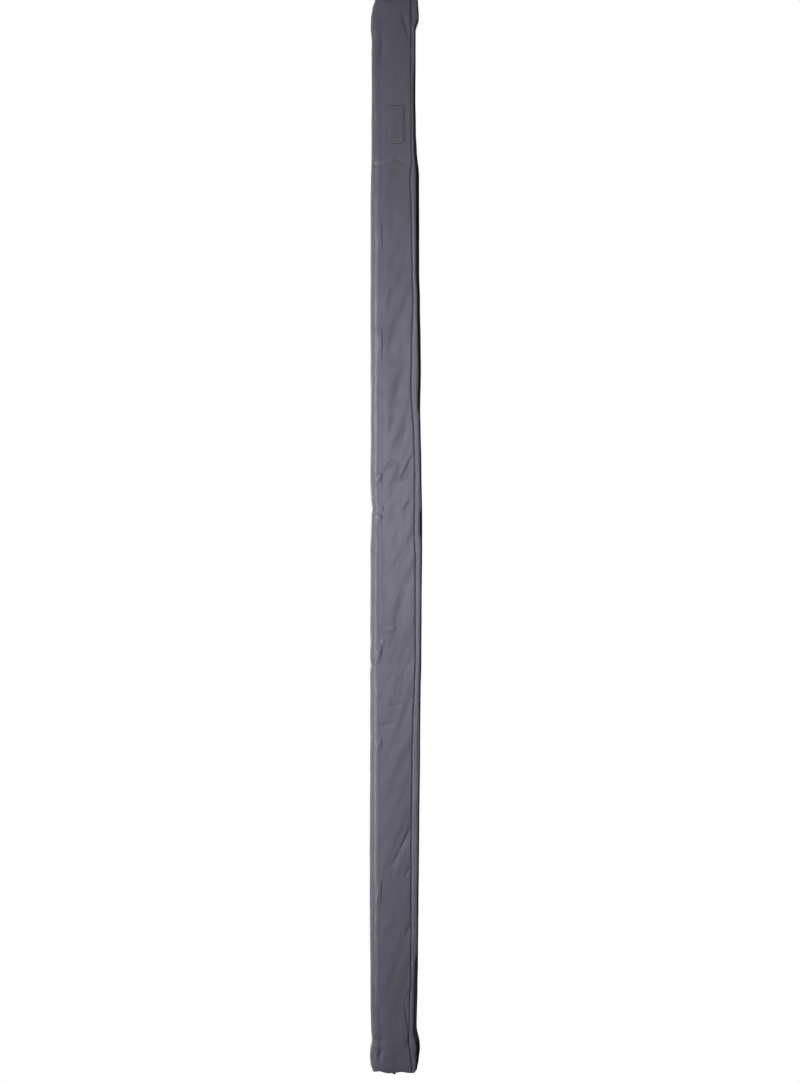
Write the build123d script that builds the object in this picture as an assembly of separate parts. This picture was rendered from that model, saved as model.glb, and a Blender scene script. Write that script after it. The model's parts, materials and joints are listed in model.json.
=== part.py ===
from build123d import *
import os

os.makedirs("parts", exist_ok=True)

# Roll out awning packed in its bag, in millimetres.
# X runs along the awning, Z is up, the awning rolls out towards minus Y.
# The origin is the centre of the rail's back face.

# Bag
bag_length = 2550.0
bag_height = 117.0
panel_thickness = 1.2
top_front_radius = 20.0
bottom_front_radius = 6.0
back_radius = 8.0
bag_back = 5.4
seam_height = 20.0
zip_height = 13.0
zip_gap = 8.0
flap_stand_off = 6.0
flap_thickness = 1.5
flap_end_margin = 75.0
patch_length = 97.0
patch_height = 45.0
patch_thickness = 0.8
patch_end_distance = 302.0
end_tab_reach = 7.5
end_tab_width = 9.5
end_tab_length = 20.0
end_tab_thickness = 1.6

# Rail
rail_end_margin = 10.0
rail_height = 84.0
rail_depth = 16.0
rail_cap_thickness = 4.0
slot_mouth = 8.6
slot_width = 15.0
slot_lip = 3.0
slot_depth = 9.5
slot_spacing = 40.0
track_radius = 3.2
track_mouth = 2.6
track_depth = 5.5
front_track_inset = 4.0
front_track_z = 31.0
bead_clearance = 0.3
tail_thickness = 1.2

# Mounting bolts
bolt_radius = 4.0
bolt_reach = 25.0
bolt_spacing = 1200.0
bolt_head_length = 14.0
bolt_head_width = 14.0
bolt_head_thickness = 5.0
bolt_neck_width = 8.0

# Telescopic tubes of the rafters and the legs
tube_radius = 10.5
inner_radius = 9.0
inner_wall = 1.4
running_gap = 0.1
tube_middle_gap = 64.0
tube_start = 14.0
inner_set_back = 36.0
inner_show = 20.0
collar_radius = 12.5
collar_length = 30.0
collar_overhang = 18.0
collar_groove_radius = 1.2
collar_groove_count = 10
telescope_overlap = 206.0
plug_length = 30.0
eye_radius = 10.0
eye_height = 20.0
peg_radius = 5.0
peg_length = 24.0
tip_cap_length = 10.0
foot_length = 20.0
foot_radius = 10.5

# Pivots
pivot_inset = 75.0
pin_radius = 4.0
pin_head_radius = 6.5
pin_head_thickness = 2.0
ear_thickness = 4.0
ear_gap = 0.5
bracket_tail = 24.0
bracket_plate = 2.6
bracket_screw_radius = 3.0
screw_head_radius = 5.0
screw_head_height = 2.4

# Rafters, one above the other in front of the rail
rafter_clearance = 0.8
rafter_step = 25.5

# Front bar
bar_wall = 1.5
bar_height = 36.0
bar_end_inset = 10.0
bar_end_length = 24.0
bar_end_flange = 5.0
leg_inset = 30.0
leg_side_gap = 0.5
leg_top_gap = 0.5
socket_gap = 0.5
socket_depth = 12.0

# Canopy and straps
roll_thickness = 7.5
roll_end_margin = 5.5
roll_clearance = 1.0
roll_radius = 16.0
canopy_thickness = 0.8
strap_width = 38.0
strap_thickness = 1.2
strap_clearance = 0.4
strap_end_distance = 288.0
front_clearance = 0.8

# Zip
chain_height = 2.4
chain_gap = 2.2
chain_thickness = 2.4
tape_thickness = 0.8
tape_height = 4.5
slider_length = 14.0
slider_height = 9.0
slider_plate = 1.2
slider_gap = 0.3
bridge_thickness = 1.4
bridge_length = 4.0
slider_end_distance = 38.0
loop_height = 5.0
loop_width = 3.0
loop_thickness = 1.6
pull_length = 16.0
pull_height = 5.0
pull_thickness = 1.0
pull_pin_radius = 0.7
pull_gap = 0.08

overrun = 5.0

# Places worked out from the sizes above
half_bag = bag_length / 2
top_z = bag_height / 2
bottom_z = -bag_height / 2
front_track_y = rail_depth - front_track_inset
rafter_y = -(rail_depth + rafter_clearance + collar_radius)
roll_back_y = rafter_y - collar_radius - roll_clearance
leg_step = collar_radius + tube_radius + leg_side_gap
bar_inner_width = leg_step + 2 * collar_radius + 2 * leg_side_gap
bar_width = bar_inner_width + 2 * bar_wall
bar_y = roll_back_y - roll_thickness - bar_width / 2
roll_front_y = bar_y - bar_width / 2 - roll_thickness
strap_front_y = roll_front_y - strap_clearance - strap_thickness
bag_front = -(strap_front_y - front_clearance - panel_thickness)
track_z = rail_height / 2 - track_depth
track_y = -(bag_back + panel_thickness / 2)
rail_length = bag_length - 2 * rail_end_margin
pivot_x = rail_length / 2 - pivot_inset
leg_pivot_x = pivot_x - leg_inset
bar_length = 2 * (pivot_x - bar_end_inset)
roll_length = 2 * (leg_pivot_x - pin_head_radius - roll_end_margin)
strap_spacing = roll_length / 2 - strap_end_distance
tube_length = pivot_x - tube_middle_gap
inner_length = tube_length - inner_set_back
telescope_travel = tube_length - telescope_overlap
leg_z = bar_height / 2 - bar_wall - leg_top_gap - collar_radius
leg_y_share = {"left": 0.5, "right": -0.5}
side_sign = {"left": -1, "right": 1}
rafter_z = {"left": rafter_step / 2, "right": -rafter_step / 2}
seam_z = bottom_z + seam_height
zip_z = bottom_z + zip_height
front_skin_y = -bag_front
slider_x = -half_bag + slider_end_distance
chain_y = front_skin_y + panel_thickness / 2


def along_x(profile, start, length):
    # Extrude a profile drawn in Y and Z from X = start.
    return Pos(start, 0, 0) * extrude(Plane.YZ * profile, length)


def box_between(low, high):
    # A box from its lowest to its highest corner.
    size = [b - a for a, b in zip(low, high)]
    centre = [(a + b) / 2 for a, b in zip(low, high)]
    return Pos(*centre) * Box(*size)


def bag_outline(inset):
    # Section of the bag, drawn in by inset all round.
    back, front = -bag_back - inset, -bag_front + inset
    low, high = bottom_z + inset, top_z - inset
    corners = [(front, high, top_front_radius), (back, high, back_radius),
               (back, low, back_radius), (front, low, bottom_front_radius)]
    face = make_face(Polyline(*[(y, z) for y, z, radius in corners], close=True))
    for y, z, radius in corners:
        corner = face.vertices().sort_by_distance(Vector(y, z, 0))[0]
        face = fillet(corner, radius - inset)
    return face


def bag_ring(start, length):
    return along_x(bag_outline(0) - bag_outline(panel_thickness), start, length)


def slab(y_low, y_high, z_low, z_high, start=-half_bag, length=bag_length):
    return box_between((start, y_low, z_low), (start + length, y_high, z_high))


# Bag panels
inner_start = -half_bag + panel_thickness
inner_run = bag_length - 2 * panel_thickness
front_split_z = top_z - top_front_radius
rail_top_z = rail_height / 2


def cover_top():
    ring = bag_ring(inner_start, inner_run)
    front_part = slab(-bag_front - overrun, -bag_front / 2, front_split_z, top_z + overrun)
    back_part = slab(-bag_front / 2, 0, rail_top_z + bead_clearance, top_z + overrun)
    return ring & (front_part + back_part)


def cover_front():
    ring = bag_ring(inner_start, inner_run)
    return ring & slab(-bag_front - overrun, -bag_front / 2, zip_z + zip_gap / 2, front_split_z)


def cover_bottom():
    ring = bag_ring(inner_start, inner_run)
    front_part = slab(-bag_front - overrun, -bag_front / 2, bottom_z - overrun, zip_z - zip_gap / 2)
    back_part = slab(-bag_front / 2, 0, bottom_z - overrun, -rail_top_z - bead_clearance)
    return ring & (front_part + back_part)


def cover_end(side):
    start = -half_bag if side == "left" else half_bag - panel_thickness
    return along_x(bag_outline(0), start, panel_thickness)


def storm_flap():
    # A strip sewn on at the seam, standing clear of the zip and open at the bottom.
    y = front_skin_y
    out = flap_stand_off
    shoulder_z = seam_z - flap_thickness
    hem_z = bottom_z + bottom_front_radius / 2
    points = [(y, seam_z), (y, shoulder_z), (y - out + flap_thickness, shoulder_z),
              (y - out + flap_thickness, hem_z), (y - out, hem_z), (y - out, shoulder_z)]
    face = make_face(Polyline(*points, close=True))
    run = inner_run - flap_end_margin
    return along_x(face, inner_start + flap_end_margin, run)


def blank_patch():
    # A plain stitched patch near the far end of the front panel.
    x = half_bag - patch_end_distance
    middle_z = (front_split_z + seam_z) / 2
    plate = Box(patch_length, patch_thickness, patch_height)
    plate = fillet(plate.edges().filter_by(Axis.Y), bottom_front_radius)
    return Pos(x, front_skin_y - patch_thickness / 2, middle_z) * plate


def end_tab():
    # Webbing loop sewn to the end panel, for pulling the bag straight.
    tab = Box(end_tab_reach, end_tab_length, end_tab_width)
    tab = fillet(tab.edges().filter_by(Axis.Y).sort_by(Axis.X)[:2], end_tab_thickness * 2)
    inside_width = end_tab_width - 2 * end_tab_thickness
    inside = Box(end_tab_reach, end_tab_length + overrun, inside_width)
    tab -= Pos(end_tab_thickness, 0, 0) * inside
    return Pos(-half_bag - end_tab_reach / 2, -bag_front / 2, 0) * tab


def keder(level):
    # Round bead and its tail, held in the rail's top or bottom track.
    radius = track_radius - bead_clearance
    bead = Pos(track_y, level * track_z) * Circle(radius)
    tail_top = rail_top_z + bead_clearance
    tail = Pos(track_y, level * (track_z + tail_top) / 2) * Rectangle(tail_thickness, tail_top - track_z)
    return along_x(bead + tail, -rail_length / 2, rail_length)


def zip_half(level):
    # Tape with its half of the chain, next to the gap that the slider runs in.
    edge = zip_z + level * chain_gap / 2
    chain_middle = edge + level * chain_height / 2
    chain = Pos(chain_y, chain_middle) * Rectangle(chain_thickness, chain_height)
    tape_y = front_skin_y + panel_thickness + tape_thickness / 2
    tape_middle = edge + level * (chain_height / 2 + tape_height / 2)
    tape = Pos(tape_y, tape_middle) * Rectangle(tape_thickness, tape_height)
    return along_x(chain + tape, inner_start + slider_length / 2, inner_run - slider_length)


def canopy_keder():
    # Bead and tail of the canopy, held in the track in the rail's front face.
    radius = track_radius - bead_clearance
    bead = Pos(-front_track_y, front_track_z) * Circle(radius)
    tail_run = rail_depth + bead_clearance - front_track_y
    tail = Pos(-front_track_y - tail_run / 2, front_track_z) * Rectangle(tail_run, tail_thickness)
    return along_x(bead + tail, -roll_length / 2, roll_length)


# Zip slider and pull
slider_front_y = chain_y - chain_thickness / 2 - slider_gap
slider_back_y = chain_y + chain_thickness / 2 + tape_thickness + slider_gap
loop_y = slider_front_y - slider_plate


def zip_slider():
    front_plate = Box(slider_length, slider_plate, slider_height)
    front_plate = fillet(front_plate.edges().filter_by(Axis.Y), slider_height / 4)
    body = Pos(slider_x, slider_front_y - slider_plate / 2, zip_z) * front_plate
    body += Pos(slider_x, slider_back_y + slider_plate / 2, zip_z) * front_plate
    depth = slider_back_y - slider_front_y
    bridge = Box(bridge_length, depth, bridge_thickness)
    body += Pos(slider_x, (slider_back_y + slider_front_y) / 2, zip_z) * bridge
    for level in (-1, 1):
        post = Box(loop_width, loop_thickness, loop_thickness)
        z = zip_z + level * (loop_height / 2 + loop_thickness / 2)
        body += Pos(slider_x, loop_y - loop_thickness / 2, z) * post
    hole = Cylinder(pull_pin_radius + pull_gap, slider_height)
    return body - Pos(slider_x, loop_y - loop_thickness / 2, zip_z) * hole


def zip_pull():
    pin = Cylinder(pull_pin_radius, loop_height + loop_thickness)
    plate = Box(pull_length, pull_thickness, pull_height - loop_thickness / 2)
    plate = fillet(plate.edges().filter_by(Axis.Y).sort_by(Axis.X)[:2], pull_height / 4)
    plate = Pos(-pull_length / 2, 0, 0) * plate
    return Pos(slider_x, loop_y - loop_thickness / 2, zip_z) * (pin + plate)


# Rail
def back_rail():
    face = Pos(-rail_depth / 2, 0) * Rectangle(rail_depth, rail_height)
    for level in (-1, 1):
        z = level * slot_spacing / 2
        face -= Pos(-slot_lip / 2, z) * Rectangle(slot_lip, slot_mouth)
        inside = slot_depth - slot_lip
        face -= Pos(-slot_lip - inside / 2, z) * Rectangle(inside, slot_width)
        face -= Pos(track_y, level * track_z) * Circle(track_radius)
        face -= Pos(track_y, level * (track_z + track_depth / 2)) * Rectangle(track_mouth, track_depth)
    mouth_run = rail_depth - front_track_y
    face -= Pos(-front_track_y, front_track_z) * Circle(track_radius)
    face -= Pos(-front_track_y - mouth_run / 2, front_track_z) * Rectangle(mouth_run, track_mouth)
    return along_x(face, -rail_length / 2, rail_length)


def rail_end_cap(side):
    sign = side_sign[side]
    plate = Box(rail_cap_thickness, rail_depth, rail_height)
    outer = plate.faces().sort_by(Axis.X)[-1 if sign > 0 else 0]
    plate = fillet(outer.edges(), rail_cap_thickness / 3)
    x = sign * (rail_length / 2 + rail_cap_thickness / 2)
    return Pos(x, -rail_depth / 2, 0) * plate


def mounting_bolts():
    # Square headed bolts that slide along the two slots in the rail's back.
    # A square neck fills the slot's mouth, so they don't turn with the nut.
    bolts = []
    head_y = -slot_lip - bolt_head_thickness / 2
    for x in (-bolt_spacing / 2, bolt_spacing / 2):
        for z in (-slot_spacing / 2, slot_spacing / 2):
            head = Pos(x, head_y, z) * Box(bolt_head_length, bolt_head_thickness, bolt_head_width)
            neck = Pos(x, -slot_lip / 2, z) * Box(bolt_neck_width, slot_lip, bolt_neck_width)
            shank = Pos(x, bolt_reach / 2, z) * (Rot(90, 0, 0) * Cylinder(bolt_radius, bolt_reach))
            bolts.append(head + neck + shank)
    return Compound(children=bolts)


# Rafter brackets and pins
def rafter_bracket(side):
    x = side_sign[side] * pivot_x
    z = rafter_z[side]
    outward = side_sign[side]
    ear_z = eye_height / 2 + ear_gap + ear_thickness / 2
    body = None
    for level in (-1, 1):
        reach = -rafter_y - rail_depth
        ear = Pos(x, -rail_depth - reach / 2, z + level * ear_z) * Box(2 * eye_radius, reach, ear_thickness)
        ear += Pos(x, rafter_y, z + level * ear_z) * Cylinder(eye_radius, ear_thickness)
        body = ear if body is None else body + ear
    height = 2 * ear_z + ear_thickness
    plate_length = 2 * eye_radius + bracket_tail
    plate_x = x + outward * bracket_tail / 2
    body += Pos(plate_x, -rail_depth - bracket_plate / 2, z) * Box(plate_length, bracket_plate, height)
    body -= Pos(x, rafter_y, z) * Cylinder(pin_radius, height + overrun)
    for screw_x, screw_z in bracket_screw_places(side):
        hole = Rot(90, 0, 0) * Cylinder(bracket_screw_radius, 2 * bracket_plate)
        body -= Pos(screw_x, -rail_depth - bracket_plate / 2, screw_z) * hole
    return body


def bracket_screw_places(side):
    x = side_sign[side] * (pivot_x + eye_radius + bracket_tail / 2)
    return [(x, rafter_z[side] + level * eye_height / 2) for level in (-1, 1)]


def bracket_screws():
    # Pan head screws through the bracket plates, their ends at the rail's face.
    screws = []
    for side in side_sign:
        for x, z in bracket_screw_places(side):
            shank = Rot(90, 0, 0) * Cylinder(bracket_screw_radius, bracket_plate)
            head = Rot(90, 0, 0) * Cylinder(screw_head_radius, screw_head_height)
            screw = Pos(x, -rail_depth - bracket_plate / 2, z) * shank
            screw += Pos(x, -rail_depth - bracket_plate - screw_head_height / 2, z) * head
            screws.append(screw)
    return Compound(children=screws)


def rafter_pin(side):
    length = eye_height + 2 * ear_gap + 2 * ear_thickness
    pin = Cylinder(pin_radius, length)
    for level in (-1, 1):
        head_z = level * (length / 2 + pin_head_thickness / 2)
        pin += Pos(0, 0, head_z) * Cylinder(pin_head_radius, pin_head_thickness)
    return Pos(side_sign[side] * pivot_x, rafter_y, rafter_z[side]) * pin


# Telescopic member, drawn from its pivot along plus X
def outer_tube():
    ring = Circle(tube_radius) - Circle(inner_radius + running_gap)
    return along_x(ring, tube_start, tube_length)


def knuckle(pin_along_z):
    # Eye for the pivot pin with a plug in the end of the tube.
    eye = Cylinder(eye_radius, eye_height)
    eye = eye if pin_along_z else Rot(90, 0, 0) * eye
    neck = box_between((0, -eye_radius / 2, -eye_radius / 2), (tube_start, eye_radius / 2, eye_radius / 2))
    plug = along_x(Circle(inner_radius), tube_start, plug_length)
    bore = Cylinder(pin_radius + running_gap, eye_height + overrun)
    bore = bore if pin_along_z else Rot(90, 0, 0) * bore
    return eye + neck + plug - bore


def inner_tube():
    ring = Circle(inner_radius) - Circle(inner_radius - inner_wall)
    end = tube_start + tube_length + collar_overhang + inner_show
    return along_x(ring, end - inner_length, inner_length)


def collar():
    # Twist lock: turned a quarter it grips the inner tube.
    end = tube_start + tube_length
    body = along_x(Circle(collar_radius), end + collar_overhang - collar_length, collar_length)
    body -= along_x(Circle(tube_radius + running_gap), end - collar_length, collar_length)
    body -= along_x(Circle(inner_radius + running_gap), end - overrun, collar_length)
    turn = 360 / collar_groove_count
    for index in range(collar_groove_count):
        groove = Pos(collar_radius + collar_groove_radius / 2, 0) * Circle(collar_groove_radius)
        body -= along_x(Rot(0, 0, index * turn) * groove, end - collar_length, 2 * collar_length)
    return body


def inner_end():
    return tube_start + tube_length + collar_overhang + inner_show


def rafter_tip():
    # End plug with the peg that enters the bar's socket.
    cap = along_x(Circle(tube_radius), inner_end(), tip_cap_length)
    plug = along_x(Circle(inner_radius - inner_wall), inner_end() - tip_cap_length, tip_cap_length)
    peg = along_x(Circle(peg_radius), inner_end(), peg_length)
    return cap + plug + peg


def leg_foot():
    # Rubber foot pushed over a plug.
    pad = along_x(Circle(foot_radius), inner_end(), foot_length)
    pad = fillet(pad.edges().sort_by(Axis.X)[-1], foot_radius / 4)
    plug = along_x(Circle(inner_radius - inner_wall), inner_end() - tip_cap_length, tip_cap_length)
    return pad + plug


def placed(member, side, y, z, x):
    # The right hand member is the left hand one turned half round about Z.
    turned = member if side == "left" else Rot(0, 0, 180) * member
    return Pos(side_sign[side] * x, y, z) * turned


# Front bar
bar_half = bar_length / 2


def leg_y(side):
    return bar_y + leg_y_share[side] * leg_step


def front_bar():
    # Channel open below, which the two legs fold up into.
    face = Rectangle(bar_width, bar_height)
    cavity = bar_height - bar_wall
    face -= Pos(0, -bar_wall / 2) * Rectangle(bar_inner_width, cavity)
    body = along_x(Pos(bar_y, 0) * face, -bar_half, bar_length)
    for side in side_sign:
        x = side_sign[side] * leg_pivot_x
        body -= Pos(x, bar_y, leg_z) * (Rot(90, 0, 0) * Cylinder(pin_radius, bar_width + overrun))
    return body


def leg_pin(side):
    length = bar_width
    pin = Cylinder(pin_radius, length)
    for level in (-1, 1):
        head_z = level * (length / 2 + pin_head_thickness / 2)
        pin += Pos(0, 0, head_z) * Cylinder(pin_head_radius, pin_head_thickness)
    return Pos(side_sign[side] * leg_pivot_x, bar_y, leg_z) * (Rot(90, 0, 0) * pin)


def bar_spacer(side):
    # Sleeve that fills the pin beside the leg's eye.
    near = leg_y(side)
    inner = bar_inner_width / 2
    if side == "left":
        low, high = bar_y - inner, near - eye_height / 2 - ear_gap
    else:
        low, high = near + eye_height / 2 + ear_gap, bar_y + inner
    sleeve = Cylinder(pin_radius + bar_wall * 2, high - low) - Cylinder(pin_radius, high - low)
    return Pos(side_sign[side] * leg_pivot_x, (low + high) / 2, leg_z) * (Rot(90, 0, 0) * sleeve)


def bar_end(side):
    # Cast end piece plugged in the channel, with the socket for the rafter's peg.
    sign = side_sign[side]
    inside = bar_half - leg_pivot_x - eye_radius - bar_wall
    plug_face = Pos(bar_y, -bar_wall / 2) * Rectangle(bar_inner_width, bar_height - bar_wall)
    cap_face = Pos(bar_y, 0) * Rectangle(bar_width + 2 * bar_end_flange, bar_height + 2 * bar_end_flange)
    cap_face = fillet(cap_face.vertices(), bar_end_flange)
    plug = along_x(plug_face, sign * bar_half - (inside if sign > 0 else 0), inside)
    cap = along_x(cap_face, sign * bar_half - (0 if sign > 0 else bar_end_length), bar_end_length)
    rear_y = bar_y + bar_width / 2 + bar_end_flange
    socket = Rot(90, 0, 0) * Cylinder(peg_radius + socket_gap, socket_depth)
    return plug + cap - Pos(sign * pivot_x, rear_y - socket_depth / 2, rafter_z[side]) * socket


# Canopy and straps
def canopy_roll():
    width = bar_width + 2 * roll_thickness
    height = bar_height + 2 * roll_thickness
    ring = RectangleRounded(width, height, roll_radius)
    ring -= Rectangle(bar_width, bar_height)
    return along_x(Pos(bar_y, 0) * ring, -roll_length / 2, roll_length)


def canopy_lead():
    # The stretch of canopy from the rail's front track to the roll.
    top = bar_height / 2 + roll_thickness
    low = top + bead_clearance
    thick = canopy_thickness
    start_y = -rail_depth - bead_clearance
    points = [(start_y, front_track_z + thick / 2), (start_y, front_track_z - thick / 2),
              (roll_back_y, low), (bar_y, low), (bar_y, low + thick), (roll_back_y, low + thick)]
    return along_x(make_face(Polyline(*points, close=True)), -roll_length / 2, roll_length)


def hold_strap(x):
    # Hook and loop strap from the rail round the rafters and the roll.
    # It is open at the rail below its upper end, where the canopy comes through.
    top = front_track_z + canopy_thickness / 2 + strap_clearance
    middle_y = -(rail_depth - strap_front_y) / 2
    width = -rail_depth - strap_front_y
    outer_face = Pos(middle_y, 0) * Rectangle(width, 2 * (top + strap_thickness))
    inner_face = Pos(middle_y, 0) * Rectangle(width - 2 * strap_thickness, 2 * top)
    outer_face = fillet(outer_face.vertices().sort_by(Axis.X)[:2], roll_radius)
    inner_face = fillet(inner_face.vertices().sort_by(Axis.X)[:2], roll_radius - strap_thickness)
    way = Pos(-rail_depth, front_track_z) * Rectangle(4 * strap_thickness, 2 * (top - front_track_z))
    return along_x(outer_face - inner_face - way, x - strap_width / 2, strap_width)


def write(name, shape):
    export_step(shape, "parts/" + name + ".step")


def write_member(side, kind, y, z, x, pin_along_z, end_piece, end_name):
    parts = {"outer": outer_tube(), "knuckle": knuckle(pin_along_z), "inner": inner_tube(),
             "collar": collar(), end_name: end_piece}
    for piece, shape in parts.items():
        write(kind + "_" + piece + "_" + side, placed(shape, side, y, z, x))


write("cover_top", cover_top())
write("cover_front", cover_front())
write("cover_bottom", cover_bottom())
write("storm_flap", storm_flap())
write("blank_patch", blank_patch())
write("end_tab", end_tab())
write("keder_top", keder(1))
write("keder_bottom", keder(-1))
write("canopy_keder", canopy_keder())
write("zip_upper", zip_half(1))
write("zip_lower", zip_half(-1))
write("zip_slider", zip_slider())
write("zip_pull", zip_pull())
write("back_rail", back_rail())
write("mounting_bolts", mounting_bolts())
write("bracket_screws", bracket_screws())
write("front_bar", front_bar())
write("canopy_roll", canopy_roll())
write("canopy_lead", canopy_lead())
write("strap_left", hold_strap(-strap_spacing))
write("strap_middle", hold_strap(0))
write("strap_right", hold_strap(strap_spacing))
for side in side_sign:
    write("cover_end_" + side, cover_end(side))
    write("rail_end_cap_" + side, rail_end_cap(side))
    write("rafter_bracket_" + side, rafter_bracket(side))
    write("rafter_pin_" + side, rafter_pin(side))
    write("leg_pin_" + side, leg_pin(side))
    write("leg_spacer_" + side, bar_spacer(side))
    write("bar_end_" + side, bar_end(side))
    write_member(side, "rafter", rafter_y, rafter_z[side], pivot_x, True, rafter_tip(), "tip")
    write_member(side, "leg", leg_y(side), leg_z, leg_pivot_x, False, leg_foot(), "foot")

# The bar stops where each rafter, run out in full, has its peg in the bar's socket.
rafter_reach = inner_end() + peg_length + telescope_travel
socket_floor = bar_y + bar_width / 2 + bar_end_flange - socket_depth
roll_out_travel = rafter_reach - rafter_y + socket_floor + bead_clearance
print("roll out travel", roll_out_travel)
print("bag front", -bag_front, "bar", bar_y, bar_width, "rafter", rafter_y, rafter_z)
print("leg", leg_y("left"), leg_y("right"), leg_z, leg_pivot_x, "pivot", pivot_x)
print("hinge", track_y, rail_top_z + bead_clearance, "slider", slider_x, loop_y - loop_thickness / 2, zip_z)
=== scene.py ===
# %% [markdown]
# A roll out awning is a long bag on a rail. Almost all that shows is one kind
# of cloth, so the lesson is about giving a plain long bag its real, slightly
# uneven shape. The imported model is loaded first, as a frame to build on.

# %% Load the frame
import json
import math
import bmesh
import bpy
from mathutils import Matrix, Vector, noise


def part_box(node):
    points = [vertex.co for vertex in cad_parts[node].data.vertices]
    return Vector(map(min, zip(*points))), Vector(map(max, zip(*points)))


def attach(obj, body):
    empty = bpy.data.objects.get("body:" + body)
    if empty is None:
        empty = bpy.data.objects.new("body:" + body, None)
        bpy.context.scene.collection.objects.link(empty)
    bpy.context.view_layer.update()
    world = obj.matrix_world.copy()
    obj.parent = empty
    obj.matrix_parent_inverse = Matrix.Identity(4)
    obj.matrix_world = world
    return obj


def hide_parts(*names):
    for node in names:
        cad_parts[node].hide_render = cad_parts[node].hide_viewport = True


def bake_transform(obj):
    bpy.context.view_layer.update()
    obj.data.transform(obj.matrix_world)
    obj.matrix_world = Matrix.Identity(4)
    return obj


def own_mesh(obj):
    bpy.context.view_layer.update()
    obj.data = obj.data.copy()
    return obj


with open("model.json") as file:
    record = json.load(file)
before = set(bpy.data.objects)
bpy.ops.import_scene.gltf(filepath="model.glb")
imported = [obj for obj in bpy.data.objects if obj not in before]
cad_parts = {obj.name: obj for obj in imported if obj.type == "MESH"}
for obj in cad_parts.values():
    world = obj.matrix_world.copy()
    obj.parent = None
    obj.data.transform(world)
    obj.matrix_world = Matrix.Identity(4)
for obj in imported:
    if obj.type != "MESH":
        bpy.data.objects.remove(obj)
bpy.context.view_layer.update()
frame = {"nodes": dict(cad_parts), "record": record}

bpy.context.scene.view_settings.view_transform = "Standard"

# %% [markdown]
# The camera looks square on at the bag's front, and is turned a quarter, so
# that the awning's right hand end is at the top of the picture. One picture
# element is 2.37 mm on the front panel. A long lens keeps both ends square.

# %% Camera
MM = 0.001
MM_PER_PIXEL = 2.37
IMAGE_HEIGHT = 1082
MIDDLE_ROW, MIDDLE_COLUMN = 541, 400
LOW_END_ROW, LOW_END = 1073, -1.275
ZERO_COLUMN = 395.7
SENSOR_MM, CAMERA_DISTANCE = 24.0, 14.0
front_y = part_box("cover_front")[0][1]


def along(row):
    """The place along the awning of a row of the picture, in metres."""
    return LOW_END + (LOW_END_ROW - row) * MM_PER_PIXEL * MM


def height(column):
    """The height above the rail's middle of a column of the picture."""
    return (ZERO_COLUMN - column) * MM_PER_PIXEL * MM


def add_camera():
    """A camera in front of the picture's middle, whose up is the awning's right hand end."""
    data = bpy.data.cameras.new("camera")
    data.sensor_fit = "AUTO"
    data.sensor_width = SENSOR_MM
    field = IMAGE_HEIGHT * MM_PER_PIXEL * MM
    data.lens = data.sensor_width * CAMERA_DISTANCE / field
    data.clip_end = 100.0
    camera = bpy.data.objects.new("camera", data)
    bpy.context.scene.collection.objects.link(camera)
    turn = Matrix(((0, 1, 0), (0, 0, -1), (-1, 0, 0))).to_4x4()
    place = Vector((along(MIDDLE_ROW), front_y - CAMERA_DISTANCE, height(MIDDLE_COLUMN)))
    camera.matrix_world = Matrix.Translation(place) @ turn
    bpy.context.scene.camera = camera
    return camera


camera = add_camera()
print("lens", round(camera.data.lens, 1), "mm at", CAMERA_DISTANCE, "m")

# %% [markdown]
# Materials are made of a few shared effects. Each effect is a node group that
# puts out a colour or a height, and every material gives it its own scale.

# %% Helpers for node groups
def group(name, inputs, outputs):
    """An empty shader node group with named sockets."""
    tree = bpy.data.node_groups.new(name, "ShaderNodeTree")
    for label, kind, value in inputs:
        socket = tree.interface.new_socket(name=label, in_out="INPUT", socket_type=kind)
        if value is not None:
            socket.default_value = value
    for label, kind in outputs:
        tree.interface.new_socket(name=label, in_out="OUTPUT", socket_type=kind)
    return tree, tree.nodes.new("NodeGroupInput"), tree.nodes.new("NodeGroupOutput")


def math_node(tree, operation, first, second):
    """A math node whose inputs are sockets or numbers."""
    node = tree.nodes.new("ShaderNodeMath")
    node.operation = operation
    for index, value in enumerate((first, second)):
        if isinstance(value, (int, float)):
            node.inputs[index].default_value = value
        else:
            tree.links.new(value, node.inputs[index])
    return node.outputs[0]


VECTOR, VALUE, COLOUR = "NodeSocketVector", "NodeSocketFloat", "NodeSocketColor"
print("sockets", VECTOR, VALUE, COLOUR)

# %% [markdown]
# No surface is one even shade. Slow clouds of noise mix a dark and a light one,
# and the object's own coordinates keep the clouds in place when a part moves.

# %% Mottle, the slow change of shade over a surface
def mottle_group():
    tree, start, end = group("mottle", [("Vector", VECTOR, None), ("Scale", VALUE, 6.0),
                                        ("Dark", COLOUR, None), ("Light", COLOUR, None)],
                             [("Color", COLOUR)])
    clouds = tree.nodes.new("ShaderNodeTexNoise")
    clouds.inputs["Detail"].default_value = 5.0
    tree.links.new(start.outputs["Vector"], clouds.inputs["Vector"])
    tree.links.new(start.outputs["Scale"], clouds.inputs["Scale"])
    mix = tree.nodes.new("ShaderNodeMix")
    mix.data_type = "RGBA"
    tree.links.new(clouds.outputs["Fac"], mix.inputs["Factor"])
    tree.links.new(start.outputs["Dark"], mix.inputs["A"])
    tree.links.new(start.outputs["Light"], mix.inputs["B"])
    tree.links.new(mix.outputs["Result"], end.inputs["Color"])
    return tree


MOTTLE = mottle_group()
print("effect", MOTTLE.name)

# %% [markdown]
# Coated cloth, nylon and anodised metal have a fine grain. It is fine noise with
# a share of coarser noise, put out as a height for a bump.

# %% Grain, the fine texture that is felt more than seen
COARSER = 14.0


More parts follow.
